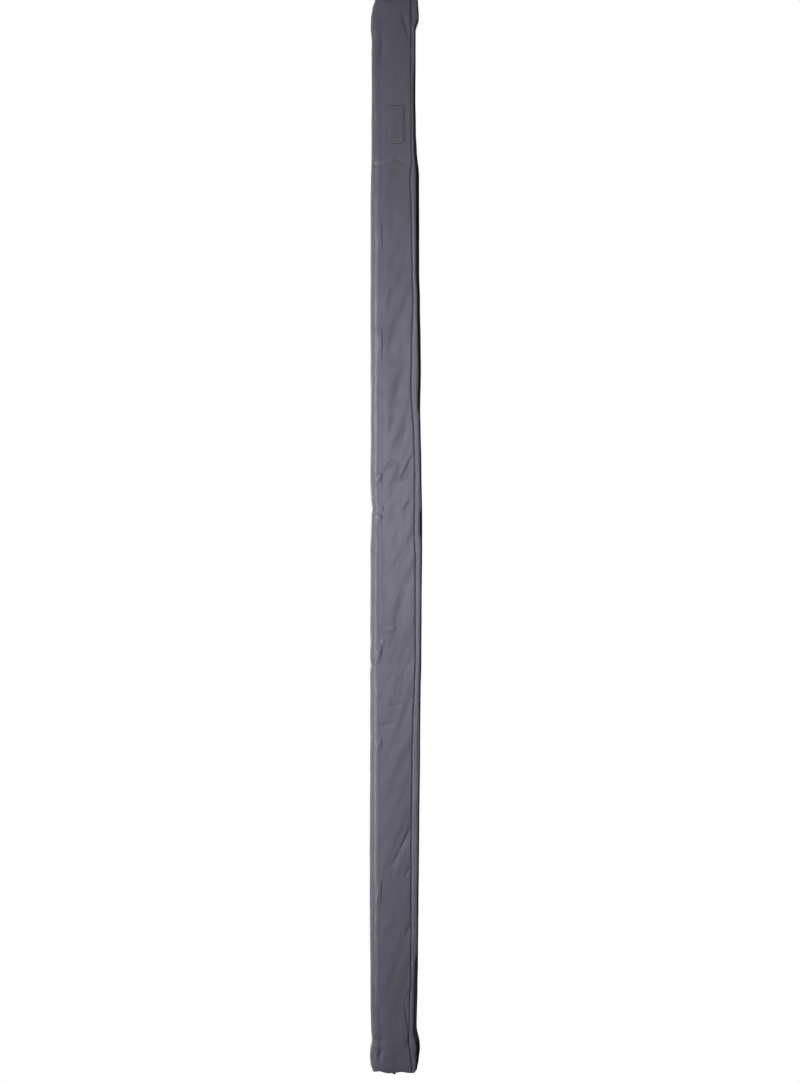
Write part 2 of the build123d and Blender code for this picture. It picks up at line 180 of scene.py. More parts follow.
def grain_group():
    tree, start, end = group("grain", [("Vector", VECTOR, None), ("Scale", VALUE, 400.0),
                                       ("Coarse share", VALUE, 0.3)], [("Height", VALUE)])
    fine = tree.nodes.new("ShaderNodeTexNoise")
    coarse = tree.nodes.new("ShaderNodeTexNoise")
    for node in (fine, coarse):
        tree.links.new(start.outputs["Vector"], node.inputs["Vector"])
    tree.links.new(start.outputs["Scale"], fine.inputs["Scale"])
    slow = math_node(tree, "DIVIDE", start.outputs["Scale"], COARSER)
    tree.links.new(slow, coarse.inputs["Scale"])
    part = math_node(tree, "MULTIPLY", coarse.outputs["Fac"], start.outputs["Coarse share"])
    total = math_node(tree, "ADD", fine.outputs["Fac"], part)
    tree.links.new(total, end.inputs["Height"])
    return tree


GRAIN = grain_group()
print("effect", GRAIN.name)

# %% [markdown]
# Webbing, tape and canvas show crossed threads. Two wave textures run across
# each other, and the higher of the two is the height at each place.

# %% Weave, crossed threads for webbing, tape and canvas
def weave_group():
    tree, start, end = group("weave", [("Vector", VECTOR, None), ("Threads", VALUE, 900.0)],
                             [("Height", VALUE)])
    bands = []
    for direction in ("X", "Y"):
        wave = tree.nodes.new("ShaderNodeTexWave")
        wave.bands_direction = direction
        tree.links.new(start.outputs["Vector"], wave.inputs["Vector"])
        tree.links.new(start.outputs["Threads"], wave.inputs["Scale"])
        bands.append(wave.outputs["Fac"])
    tree.links.new(math_node(tree, "MAXIMUM", bands[0], bands[1]), end.inputs["Height"])
    return tree


WEAVE = weave_group()
print("effect", WEAVE.name)

# %% [markdown]
# One maker function joins the effects to a Principled shader. The numbers that
# are the same all over a surface are set on the shader itself.

# %% Material maker
RELIEF = 0.0004
FINISHES = {}


def finish(name, dark, light, rough, rough_spread=0.08, mottle_scale=6.0, grain_scale=400.0,
           bump=0.1, metallic=0.0, sheen=0.0, threads=0.0, gloss=0.5):
    """A material from two shades, a roughness and the scale of its grain or its threads."""
    material = bpy.data.materials.new(name)
    material.use_nodes = True
    tree = material.node_tree
    shader = tree.nodes["Principled BSDF"]
    place = tree.nodes.new("ShaderNodeTexCoord").outputs["Object"]
    shade = tree.nodes.new("ShaderNodeGroup")
    shade.node_tree = MOTTLE
    tree.links.new(place, shade.inputs["Vector"])
    shade.inputs["Scale"].default_value = mottle_scale
    shade.inputs["Dark"].default_value = (*dark, 1.0)
    shade.inputs["Light"].default_value = (*light, 1.0)
    tree.links.new(shade.outputs["Color"], shader.inputs["Base Color"])
    texture = tree.nodes.new("ShaderNodeGroup")
    texture.node_tree = WEAVE if threads else GRAIN
    tree.links.new(place, texture.inputs["Vector"])
    if threads:
        texture.inputs["Threads"].default_value = threads
    else:
        texture.inputs["Scale"].default_value = grain_scale
    relief = tree.nodes.new("ShaderNodeBump")
    relief.inputs["Strength"].default_value = bump
    relief.inputs["Distance"].default_value = RELIEF
    tree.links.new(texture.outputs["Height"], relief.inputs["Height"])
    tree.links.new(relief.outputs["Normal"], shader.inputs["Normal"])
    spread = math_node(tree, "MULTIPLY", texture.outputs["Height"], rough_spread)
    tree.links.new(math_node(tree, "ADD", spread, rough - rough_spread / 2), shader.inputs["Roughness"])
    shader.inputs["Metallic"].default_value = metallic
    shader.inputs["Sheen Weight"].default_value = sheen
    shader.inputs["Specular IOR Level"].default_value = gloss
    FINISHES[name] = material


print("relief of a bump", RELIEF * 1000, "mm")

# %% [markdown]
# The record names a finish for every node. The bag's grey is a little blue, and
# its black is a true black. What is hidden in the bag gets its finish too, since
# it shows as soon as the awning is rolled out.

# %% Finishes
finish("grey_pvc", (0.134, 0.133, 0.178), (0.168, 0.167, 0.218), 0.38, 0.10,
       mottle_scale=6.0, grain_scale=700.0, bump=0.25, gloss=0.36)
finish("black_pvc", (0.003, 0.003, 0.004), (0.007, 0.007, 0.008), 0.5,
       grain_scale=700.0, bump=0.25, gloss=0.08)
finish("canopy_cloth", (0.40, 0.35, 0.26), (0.49, 0.44, 0.34), 0.82,
       mottle_scale=9.0, threads=420.0, bump=0.35, sheen=0.15)
finish("black_anodised", (0.018, 0.018, 0.020), (0.030, 0.030, 0.032), 0.36,
       mottle_scale=3.0, grain_scale=1400.0, metallic=0.85, bump=0.1)
finish("silver_anodised", (0.40, 0.40, 0.42), (0.48, 0.48, 0.50), 0.38,
       mottle_scale=3.0, grain_scale=1500.0, metallic=0.95, bump=0.08)
finish("black_nylon", (0.016, 0.016, 0.017), (0.027, 0.027, 0.028), 0.55,
       mottle_scale=20.0, grain_scale=900.0, bump=0.3)
finish("rubber_foot", (0.014, 0.014, 0.014), (0.030, 0.029, 0.028), 0.78,
       mottle_scale=30.0, grain_scale=500.0, bump=0.4)
finish("webbing", (0.010, 0.010, 0.011), (0.022, 0.022, 0.024), 0.85,
       mottle_scale=40.0, threads=900.0, bump=0.8, sheen=0.05, gloss=0.15)
finish("zinc_steel", (0.42, 0.42, 0.44), (0.62, 0.62, 0.60), 0.32, 0.2,
       mottle_scale=60.0, grain_scale=600.0, metallic=1.0, bump=0.12)
finish("keder_cord", (0.03, 0.03, 0.034), (0.05, 0.05, 0.054), 0.45,
       grain_scale=900.0, bump=0.1)
finish("zip_metal", (0.015, 0.015, 0.016), (0.035, 0.035, 0.036), 0.3,
       mottle_scale=90.0, grain_scale=1200.0, metallic=0.6, bump=0.1)
finish("zip_tape", (0.010, 0.010, 0.011), (0.020, 0.020, 0.022), 0.8,
       mottle_scale=40.0, threads=1400.0, bump=0.6)
finish("grey_thread", (0.085, 0.082, 0.095), (0.12, 0.118, 0.135), 0.7,
       mottle_scale=200.0, threads=3000.0, bump=0.4)
finish("dark_thread", (0.012, 0.012, 0.014), (0.024, 0.024, 0.028), 0.7,
       mottle_scale=200.0, threads=3000.0, bump=0.4, gloss=0.2)
for entry in frame["record"]["subparts"]:
    node = frame["nodes"][entry["node"]]
    node.data.materials.clear()
    node.data.materials.append(FINISHES[entry["material_slot"]])

# %% [markdown]
# The bag isn't a straight box. Its edges wander by a few millimetres, and it is
# drawn in near both ends. The outline is kept as a few points: the place along
# the awning, as a row of the picture, and the height, as a column. The sliver of
# the underside is kept in the same way, with its width in picture elements.

# %% The bag's outline
TOP_EDGE = [(0, 375), (8, 372.7), (17, 371.3), (28, 371), (40, 372), (150, 372), (200, 371),
            (440, 371), (480, 370.5), (500, 371), (509, 372.2), (518, 371), (560, 370.3),
            (655, 370.3), (664, 371), (672, 370.3), (900, 370.3), (1000, 370.7), (1030, 371.5),
            (1041, 372.2), (1056, 370.2), (1064, 370.9), (1071, 372.6), (1074, 373.4)]
BOTTOM_EDGE = [(0, 417.6), (17, 418.5), (28, 415.3), (100, 415), (132, 415.4), (150, 416.4),
               (175, 418.6), (270, 418.6), (300, 419.5), (370, 420.5), (410, 419.8), (470, 421),
               (520, 421.8), (600, 421.3), (650, 421), (700, 420), (760, 419.6), (850, 418.6),
               (900, 418), (960, 417.5), (985, 417), (1028, 416.3), (1048, 419.6), (1060, 418.3),
               (1068, 416.8), (1074, 415)]
SEAM = [(0, 411.3), (150, 411.9), (160, 412.6), (176, 410.5), (200, 411.5), (250, 412.5),
        (300, 413.5), (350, 412), (385, 411.5), (440, 414.5), (470, 415.3), (530, 414.8),
        (560, 415.8), (660, 415.8), (690, 415), (720, 413.5), (760, 412.5), (850, 411.5),
        (985, 411.5), (1000, 410), (1020, 410), (1040, 409), (1068, 412.5), (1074, 412.5)]
SLIVER = [(0, 0.2), (60, 0.3), (80, 1.4), (105, 1.6), (165, 2.3), (270, 2.3), (300, 1.8),
          (405, 1.6), (418, 0.3), (505, 0.3), (515, 1.4), (532, 1.4), (542, 0.2), (950, 0.2),
          (965, 2.4), (1025, 2.6), (1036, 3.2), (1055, 3.0), (1062, 2.0), (1069, 0.5), (1074, 0.3)]
ZIP_Z, ZIP_CLEAR, ZIP_BELOW_SEAM = -0.0455, 0.0045, 0.0065
ZIP_LEVEL_FROM, ZIP_EASE = 1.17, 0.12


def read_line(points, x):
    """The smooth value of a measured line at a place along the awning."""
    row = LOW_END_ROW - (x - LOW_END) / (MM_PER_PIXEL * MM)
    if row <= points[0][0]:
        return points[0][1]
    for (low, first), (high, second) in zip(points, points[1:]):
        if row <= high:
            share = (row - low) / (high - low)
            share = share * share * (3 - 2 * share)
            return first + (second - first) * share
    return points[-1][1]


def top_of(x):
    return height(read_line(TOP_EDGE, x))


def bottom_of(x):
    return height(read_line(BOTTOM_EDGE, x))


def seam_of(x):
    return height(read_line(SEAM, x))


def sliver_of(x):
    return read_line(SLIVER, x) * MM_PER_PIXEL * MM


def ramp(way, length):
    """Nought up to a place, then a straight rise to one."""
    return min(1.0, max(0.0, way / length))


def zip_middle(x):
    """The zip's height. It hangs with a low seam, and keeps off the bag's lower edge."""
    low = min(0.0, seam_of(x) - ZIP_BELOW_SEAM - ZIP_Z)
    hung = ZIP_Z + low * ramp(ZIP_LEVEL_FROM - abs(x), ZIP_EASE)
    return max(hung, bottom_of(x) + ZIP_CLEAR)


print("bag", round((top_of(0) - bottom_of(0)) * 1000), "mm high in the middle,",
      round((top_of(1.1) - bottom_of(1.1)) * 1000), "mm near the end")

# %% [markdown]
# Each panel is a flat grid that is bent round the section of the bag. A path is
# a few corners with a radius each. The grid's two directions become the length
# of the awning and the way along the path.

# %% Bending a grid round a path
def rounded_path(corners, steps_per_arc=8):
    """Points of a path through corners (y, z, radius), with the corners rounded."""
    points = [Vector(corners[0][:2])]
    for before, corner, after in zip(corners, corners[1:], corners[2:]):
        at = Vector(corner[:2])
        one = (Vector(before[:2]) - at).normalized()
        two = (Vector(after[:2]) - at).normalized()
        half = one.angle(two) / 2
        back = corner[2] / math.tan(half)
        centre = at + (one + two).normalized() * (corner[2] / math.sin(half))
        first, last = at + one * back - centre, at + two * back - centre
        for step in range(steps_per_arc + 1):
            point = first.lerp(last, step / steps_per_arc).normalized() * corner[2]
            points.append(centre + point)
    points.append(Vector(corners[-1][:2]))
    return points


def walk(points, share):
    """The point and the outward normal at a share of a path's length."""
    lengths = [(b - a).length for a, b in zip(points, points[1:])]
    left = share * sum(lengths)
    for (a, b), length in zip(zip(points, points[1:]), lengths):
        if left <= length or b is points[-1]:
            way = (b - a).normalized()
            return a + way * min(left, length), Vector((-way.y, way.x))
        left -= length


def smooth_piece(name, work):
    """A smooth shaded piece in the scene, from a bmesh that is done."""
    mesh = bpy.data.meshes.new(name)
    work.to_mesh(mesh)
    work.free()
    for face in mesh.polygons:
        face.use_smooth = True
    piece = bpy.data.objects.new(name, mesh)
    bpy.context.scene.collection.objects.link(piece)
    return piece


def bent_grid(name, columns, rows, place):
    """A grid whose points go where place(u, v) says, with u and v from 0 to 1."""
    work = bmesh.new()
    bmesh.ops.create_grid(work, x_segments=columns, y_segments=rows, size=0.5)
    for vertex in work.verts:
        vertex.co = place(vertex.co.x + 0.5, vertex.co.y + 0.5)
    work.normal_update()
    return smooth_piece(name, work)


print("a path round one corner has", len(rounded_path([(0, 0, 0), (0, 2, 1), (2, 2, 0)])), "points")

# %% [markdown]
# A bent grid has no thickness yet. A Solidify modifier gives it some, inwards
# unless an offset says otherwise. A grid that closes on itself has its edges
# joined first. At the end a piece gets its finish, is hung on an empty for the
# body it rides on, and the plain nodes it takes the place of are hidden.


def thicken(piece, thickness, offset=-1.0):
    """Give a sheet its thickness with a modifier."""
    solid = piece.modifiers.new("thickness", "SOLIDIFY")
    solid.thickness = thickness
    solid.offset = offset
    return piece


def close_up(piece, distance):
    """Join the edges of a grid that meet, and turn its faces outwards."""
    work = bmesh.new()
    work.from_mesh(piece.data)
    bmesh.ops.remove_doubles(work, verts=work.verts, dist=distance)
    bmesh.ops.recalc_face_normals(work, faces=work.faces)
    work.to_mesh(piece.data)
    work.free()
    return piece


def dress(piece, material_slot, body, *nodes):
    """The finish, body and replaced nodes of a piece."""
    piece.data.materials.append(FINISHES[material_slot])
    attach(piece, body)
    if nodes:
        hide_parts(*nodes)


# %% [markdown]
# Coated cloth keeps the memory of how it was folded. Long soft waves run over
# the whole bag, and a few sharp diagonal creases cross it. Each crease is a
# line on the front panel with a depth and a width. It is a valley that is steep
# above, where it stays dark, and shallow below. A negative depth is a ridge.

# %% Creases
# Both ends as row and column of the picture, then depth and width in millimetres.
CREASES = [((455, 413), (481, 400), 1.7, 5.5), ((824, 411.5), (850, 400), 1.9, 5.5),
           ((850, 400), (866, 391), 1.1, 5), ((866, 410.5), (876, 404), 1.2, 4),
           ((922, 411), (936, 405), 1.2, 4), ((500, 412), (511, 402), 0.8, 4),
           ((463, 387), (487, 373.5), -1.1, 3.5), ((506, 382), (537, 373), -1.0, 3.5),
           ((634, 385), (669, 373.5), -1.2, 3.5), ((738, 381), (753, 375), -0.9, 3.5),
           ((690, 379), (702, 375), -0.7, 3.5), ((881, 380), (909, 376), -0.7, 4),
           ((458, 399), (468, 382), 0.9, 4), ((626, 398), (632, 380), -0.8, 3.5),
           ((703, 402), (706, 388), 0.6, 3.5), ((722, 396), (726, 380), 0.6, 4),
           ((158, 392), (165, 380), 1.0, 5), ((158, 392), (166, 408), 0.6, 5),
           ((508, 371), (517, 386), 0.8, 4), ((664, 371), (667, 381), 0.6, 4),
           ((300, 386), (372, 375), -0.6, 5), ((205, 384), (262, 376), -0.5, 5),
           ((10, 401), (42, 409), 1.6, 5), ((24, 383), (64, 380), 1.0, 8),
           ((-60, 380), (160, 379), 2.2, 15), ((1005, 379), (1115, 381), 2.0, 13),
           ((1038, 371), (1044, 386), 1.8, 5), ((985, 412), (1003, 404), 1.4, 5),
           ((1003, 404), (1034, 409), 1.6, 5), ((1034, 409), (1068, 413), 1.8, 4),
           ((1020, 414), (1050, 405), 1.4, 4), ((1048, 381), (1068, 376), 1.4, 5),
           ((1052, 398), (1070, 394), 0.9, 5)]
CREASE_STRENGTH, STEEP_SIDE, SHALLOW_SIDE = 1.6, 0.45, 1.7
CREASE_LINES = [(Vector((along(a[0]), height(a[1]))), Vector((along(b[0]), height(b[1]))),
                 depth * MM * CREASE_STRENGTH, width * MM) for a, b, depth, width in CREASES]


def crease_depth(x, z):
    """How far the creases push the front panel in at a point."""
    total = 0.0
    here = Vector((x, z))
    for start, end, depth, width in CREASE_LINES:
        run = end - start
        share = (here - start).dot(run) / run.length_squared
        near = here - start - run * share
        side = near.length * (1 if run.x * near.y - run.y * near.x > 0 else -1)
        fade = math.sin(math.pi * share) ** 0.7 if 0.0 < share < 1.0 else 0.0
        reach = width * (STEEP_SIDE if side < 0 else SHALLOW_SIDE)
        total += depth * fade * math.exp(-(side / reach) ** 2)
    return total


print(len(CREASES), "creases, deepest", max(c[2] for c in CREASES), "mm")

# %% [markdown]
# The waves are three noises of different size. The two finer ones are drawn out
# in a slant, since the cloth was pulled along the bag as it was closed. At the
# ends the panels hold the cloth, and the waves fade out.

# %% Waves
HALF_BAG = 1.2738
SLANT_RUN, SLANT_RISE = 0.93, 0.36
SLOW_MM, MIDDLE_MM, QUICK_MM = 1.6, 1.7, 0.42
FADE_LENGTH = 0.05


def wave(x, s, seed):
    """How far the cloth waves in or out, at a place along the bag and across the panel."""
    run, across = SLANT_RUN * x - SLANT_RISE * s, SLANT_RISE * x + SLANT_RUN * s
    slow = noise.noise(Vector((x * 3.1, s * 12.0, seed)))
    middle = noise.noise(Vector((run * 9.0, across * 38.0, seed + 7.0)))
    quick = noise.noise(Vector((run * 34.0, across * 95.0, seed + 3.0)))
    return (SLOW_MM * slow + MIDDLE_MM * middle + QUICK_MM * quick) * MM


def edge_fade(x):
    """Nought at the ends, where the end panels hold the cloth, and one inside."""
    return ramp(HALF_BAG - abs(x), FADE_LENGTH)


print("a wave in the middle", round(wave(0.0, 0.0, 2.0) / MM, 2), "mm")

# %% [markdown]
# All panels share the same ends. In its last centimetre the bag turns on to the
# end panel, so its section draws in on a quarter round. The last three
# centimetres also stand a little in or out, as a seam sewn by hand does.

# %% The bag's ends
END_TURN, END_DRAW, HEIGHT_DRAW = 0.010, 0.005, 0.4
END_SEWN, END_UNEVEN = 0.03, 0.0042


def place_along(u):
    """The place along the bag of a grid's first direction."""
    return -HALF_BAG + 2 * HALF_BAG * u


def end_draw(x):
    """How far the section draws in where it turns on to the end panel."""
    into = max(0.0, abs(x) - (HALF_BAG - END_TURN)) / END_TURN
    return END_DRAW * (1 - math.sqrt(max(0.0, 1 - into * into)))


def end_wobble(x, z):
    """How far the sewn end stands in or out, in the last 3 cm of the bag."""
    share = max(0.0, (abs(x) - (HALF_BAG - END_SEWN)) / END_SEWN)
    uneven = noise.noise(Vector((z * 38.0, 4.0, math.copysign(1.0, x))))
    return math.copysign(share, x) * END_UNEVEN * uneven


def bag_heights(x):
    """The heights of the bag's top and underside."""
    draw = end_draw(x) * HEIGHT_DRAW
    return top_of(x) - draw, bottom_of(x) + draw


print("bag", round(2 * HALF_BAG, 3), "m long, drawn in", END_DRAW * 1000, "mm at the ends")

# %% [markdown]
# The front bulges and sinks slowly along the bag, leans back where it nears the
# rounded top edge, and dips to the seam, which keeps a shadow. Top, front, flap
# and patch all ask this one function, so that they lie on each other.

# %% The front's surface
FRONT_BACK, BULGE = 0.0006, 0.0006
LEAN, LEAN_FROM, LEAN_RUN = 0.0018, 0.014, 0.020
SEAM_DIP, SEAM_DIP_WIDTH = 0.0024, 0.0022


def front_surface(x, z):
    """Where the front of the bag is, in y."""
    bulge = BULGE * math.sin(3 * x) * edge_fade(x)
    lean = LEAN * (max(0.0, z - LEAN_FROM) / LEAN_RUN) ** 2
    relief = wave(x, z, 2.0) - crease_depth(x, z)
    above = max(0.0, z - seam_of(x)) / SEAM_DIP_WIDTH
    dip = SEAM_DIP * math.exp(-above * above)
    return front_y + FRONT_BACK + dip + lean + end_draw(x) - bulge - relief * edge_fade(x)


print("front at", round(front_surface(0.0, 0.0), 4), "m in the middle")

# %% [markdown]
# The top panel starts at the rail's bead, goes up and over, and rolls round the
# wide front edge, which catches the light. Creases reach on to it from the
# front.

# %% Top panel
LENGTH_STEPS = 640
BEAD_Y, BEAD_Z = -0.006, 0.0426
BACK_RADIUS, FRONT_RADIUS, HEM_RADIUS = 0.008, 0.024, 0.0054
CLOTH = 0.0011
CREASED_FROM, CREASED_EASE = -0.088, 0.016


def top_place(u, v):
    x = place_along(u)
    high, _ = bag_heights(x)
    face = front_surface(x, high - FRONT_RADIUS)
    corners = [(BEAD_Y, BEAD_Z, 0), (BEAD_Y, high, BACK_RADIUS),
               (face, high, FRONT_RADIUS), (face, high - FRONT_RADIUS - 0.003, 0)]
    point, inward = walk(rounded_path(corners), v)
    lift = wave(x, point.x + point.y, 5.0) * edge_fade(x) * math.sin(math.pi * v) * 0.7
    near_front = ramp(CREASED_FROM - point.x, CREASED_EASE)
    push = crease_depth(x, point.y) * near_front * edge_fade(x) - lift
    return Vector((x + end_wobble(x, point.y), point.x + inward.x * push,
                   min(point.y + inward.y * push, high + 0.0012)))


top_panel = thicken(bent_grid("bag_top", LENGTH_STEPS, 56, top_place), CLOTH)
top_panel.data.materials.append(FINISHES["grey_pvc"])
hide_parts("cover_top")
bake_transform(top_panel)
print("top", len(top_panel.data.polygons), "faces")

# %% [markdown]
# The front panel starts just under the top panel's edge and ends a little below
# the flap's seam, where it has to stay above the zip's slider.

# %% Front panel
UNDER_TOP, OVERLAP = 0.0002, 0.001
BELOW_SEAM_MOST, BELOW_SEAM_LEAST, ABOVE_ZIP = 0.006, 0.0012, 0.0058


def front_place(u, v):
    x = place_along(u)
    high = bag_heights(x)[0] - FRONT_RADIUS + OVERLAP
    low = min(zip_middle(x) + ABOVE_ZIP, seam_of(x) - BELOW_SEAM_LEAST)
    low = max(seam_of(x) - BELOW_SEAM_MOST, low)
    z = high + (low - high) * v
    under_top = UNDER_TOP * math.exp(-((high - z) / 0.004) ** 2)
    return Vector((x + end_wobble(x, z), front_surface(x, z) + under_top, z))


front_panel = thicken(bent_grid("bag_front", LENGTH_STEPS, 56, front_place), CLOTH)
dress(front_panel, "grey_pvc", "cover", "cover_front")
print("front", len(front_panel.data.polygons), "faces")

# %% [markdown]
# The storm flap is a strip sewn on along the seam. It rises off the front, hangs
# over the zip and its slider, and stops just short of the black underside, which
# shows beyond it as a sliver. A row of stitches presses a groove into it, which
# fades out near the ends, where the slider comes to rest behind it.

# %% Storm flap
FLAP_OUT, FLAP_BACK, FLAP_SHORT = 0.0056, 0.0004, 0.0015
CURL_FROM, CURL = 0.75, 0.004
GROOVE_LEVEL, GROOVE_WIDTH, GROOVE = 0.36, 0.07, 0.0010
PLAIN_END, PLAIN_EASE, PLAIN_OUT = 0.05, 0.03, 0.0007


def flap_place(u, v):
    x = place_along(u)
    seam = seam_of(x)
    hem = bottom_of(x) + sliver_of(x) + FLAP_SHORT + end_draw(x) * HEIGHT_DRAW
    z = seam + (hem - seam) * v
    rise = math.sin(min(1.0, v * 3.2) * math.pi / 2)
    curl = max(0.0, v - CURL_FROM) * CURL
    flutter = wave(x, z + 0.3, 9.0) * 0.8 * v * edge_fade(x)
    inner = ramp(HALF_BAG - PLAIN_END - abs(x), PLAIN_EASE)
    groove = GROOVE * math.exp(-((v - GROOVE_LEVEL) / GROOVE_WIDTH) ** 2) * inner
    flutter += groove - PLAIN_OUT * rise * (1 - inner)
    base = front_surface(x, seam) - SEAM_DIP * rise
    return Vector((x + end_wobble(x, z), base - FLAP_BACK - FLAP_OUT * rise + curl + flutter, z))


flap = thicken(bent_grid("bag_storm_flap", LENGTH_STEPS, 12, flap_place), CLOTH)
dress(flap, "grey_pvc", "cover", "storm_flap")
print("flap", len(flap.data.polygons), "faces")

# %% [markdown]
# The underside is black. Its front lip turns up behind the flap to the lower
# half of the zip, and its back edge climbs to the bead in the rail's bottom.
# Where the underside is close below the bead, only a tight turn has room.

# %% Underside
LIP_TOP, LIP_MOST, LIP_LEAST, LIP_BELOW_SEAM = -0.0512, 0.016, 0.0020, 0.010
FACE_BACK = 0.0016
HELD_Z = 0.7 * MM - BEAD_Z
WIDE_TURN, TIGHT_TURN, TURN_ROOM = 0.006, 0.001, 0.0065


def under_place(u, v):
    x = place_along(u)
    _, low = bag_heights(x)
    lip = max(low + LIP_LEAST, min(seam_of(x) - LIP_BELOW_SEAM, low + LIP_MOST, LIP_TOP))
    face = front_y + FACE_BACK + end_draw(x)
    front_turn = min(HEM_RADIUS, (lip - low) * 0.9)
    back_turn = TIGHT_TURN if low > -BEAD_Z - TURN_ROOM else WIDE_TURN
    corners = [(face, lip, 0), (face, low, front_turn), (BEAD_Y, low, back_turn), (BEAD_Y, HELD_Z, 0)]
    point, _ = walk(rounded_path(corners, 6), v)
    lift = wave(x, point.x * 2, 15.0) * edge_fade(x) * math.sin(math.pi * v) ** 2 * 0.6
    return Vector((x + end_wobble(x, point.y), point.x, point.y + lift))


under = thicken(bent_grid("bag_underside", LENGTH_STEPS // 2, 40, under_place), CLOTH)
dress(under, "black_pvc", "root", "cover_bottom")
print("underside", len(under.data.polygons), "faces")

# %% [markdown]
# An end panel is a rounded plate, puffed out a little. It is made from a grid
# that is pushed out to the bag's own outline at that end.

# %% End panels
SIDES = (("left", -1), ("right", 1))
PUFF, END_BACK_RADIUS = 0.0012, 0.004


def rim_of(sign):
    """The rim of an end panel, a closed path in y and z, and its middle."""
    x = sign * HALF_BAG
    high, low = bag_heights(x)
    face = front_surface(x, 0.0)
    rim = rounded_path([(BEAD_Y, 0.0, 0), (BEAD_Y, high, BACK_RADIUS), (face, high, FRONT_RADIUS),
                        (face, low, HEM_RADIUS), (BEAD_Y, low, END_BACK_RADIUS), (BEAD_Y, 0.0, 0)])
    return rim, sum(rim, Vector((0, 0))) / len(rim)


def end_place(sign):
    """The place function of an end panel, from its middle out to its rim."""
    x = sign * HALF_BAG
    rim, middle = rim_of(sign)

    def place(u, v):
        point, _ = walk(rim, u)
        spread = math.sin(v * math.pi / 2)
        at = middle + (point - middle) * spread
        puff = PUFF * (1 - spread ** 4)
        puff += wave(at.x * 2, at.y, 20.0 + sign) * 0.4 * (1 - spread ** 2)
        return Vector((x + end_wobble(x, at.y) + sign * puff, at.x, at.y))
    return place


for side, sign in SIDES:
    end_panel = close_up(bent_grid("bag_end_" + side, 96, 16, end_place(sign)), 0.00005)
    dress(thicken(end_panel, CLOTH, 0.0), "grey_pvc", "root", "cover_end_" + side)
print("ends at", round(HALF_BAG, 4), "m")

# %% [markdown]
# The edge of each end panel is bound with a narrow cord of the same cloth, as a
# suitcase is. The cord is a thin tube that follows the end panel's rim.

# %% End binding
BINDING = 0.0016


def binding_place(sign):
    """The place function of a thin tube along an end panel's rim."""
    rim, _ = rim_of(sign)

    def place(u, v):
        point, outward = walk(rim, u)
        angle = 2 * math.pi * v
        radius = BINDING * (1 + 0.06 * noise.noise(Vector((u * 90, 0.0, sign))))
        side = outward * (radius * math.cos(angle))
        x = sign * (HALF_BAG - 0.0004) + end_wobble(sign * HALF_BAG, point.y)
        return Vector((x + radius * math.sin(angle), point.x + side.x, point.y + side.y))
    return place


for side, sign in SIDES:
    binding = close_up(bent_grid("end_binding_" + side, 150, 10, binding_place(sign)), 0.00002)
    dress(binding, "grey_pvc", "root")
print("bindings", round(BINDING * 2000, 1), "mm thick")

# %% [markdown]
# A seam on such a bag is sewn with thick thread. One stitch is a small rounded
# bar, made once. It is copied along each row, turned to follow the row and to
# lie on the cloth. The zip's coil is made by the same helper from a stouter bar.

# %% A bar and a row of its copies
SPAN = 0.7


def small_bar(length, width, thickness):
    """A rounded bar along X, as a mesh with few faces."""
    mesh = bpy.data.meshes.new("small_bar")
    work = bmesh.new()
    bmesh.ops.create_uvsphere(work, u_segments=6, v_segments=5, radius=1.0)
    bmesh.ops.rotate(work, verts=work.verts, matrix=Matrix.Rotation(math.pi / 2, 3, "Y"))
    bmesh.ops.scale(work, verts=work.verts, vec=(length / 2, width / 2, thickness / 2))
    work.to_mesh(mesh)
    work.free()
    return mesh


def row_of(name, unit, count, at, lift):
    """Copies of a unit mesh along a line. at(share) gives a point and the way out."""
    work = bmesh.new()
    for index in range(count):
        start, out = at(index / count)
        end, _ = at((index + SPAN) / count)
        run = (end - start).normalized()
        across = out.cross(run).normalized()
        up = run.cross(across)
        turn = Matrix((run, across, up)).transposed().to_4x4()
        copy = unit.copy()
        copy.transform(Matrix.Translation((start + end) / 2 + up * lift) @ turn)
        work.from_mesh(copy)
        bpy.data.meshes.remove(copy)
    return smooth_piece(name, work)


print("a copy spans", SPAN, "of its step")

# %% [markdown]
# Four rows run the length of the bag: two on the flap, one at the front panel's
# lower edge and one at the top panel's. A row asks the panel's own function for
# its points, so the stitches follow every wave of the cloth.

# %% Stitches along the bag
STITCH, STITCH_STEP, THREAD = 0.0036, 0.0052, 0.00045
STITCH_LIFT = THREAD * 0.3
ROW_INSET = 0.004 / (2 * HALF_BAG)


def on_cloth(place, u, v):
    """A point of a bent grid and the way out of the cloth there."""
    point = place(u, v)
    along_it = place(min(1.0, u + 0.0004), v) - place(max(0.0, u - 0.0004), v)
    across_it = place(u, min(1.0, v + 0.004)) - place(u, max(0.0, v - 0.004))
    return point, across_it.cross(along_it).normalized()


stitch = small_bar(STITCH, THREAD * 2, THREAD * 1.4)
stitch_count = int(2 * HALF_BAG / STITCH_STEP)
ROWS = (("stitches_flap_seam", flap_place, GROOVE_LEVEL), ("stitches_flap_hem", flap_place, 0.86),
        ("stitches_front_seam", front_place, 0.945), ("stitches_top_seam", top_place, 0.985))
for name, place, level in ROWS:
    row = row_of(name, stitch, stitch_count,
                 lambda t: on_cloth(place, ROW_INSET + t * (1 - 2 * ROW_INSET), level), STITCH_LIFT)
    dress(row, "grey_thread", "cover")
print(len(ROWS), "rows of", stitch_count, "stitches")

# %% [markdown]
# The stitches of the end panels run round, just inside the binding.

# %% Stitches round the ends
END_STITCHES, FROM_RIM = 66, 0.0048


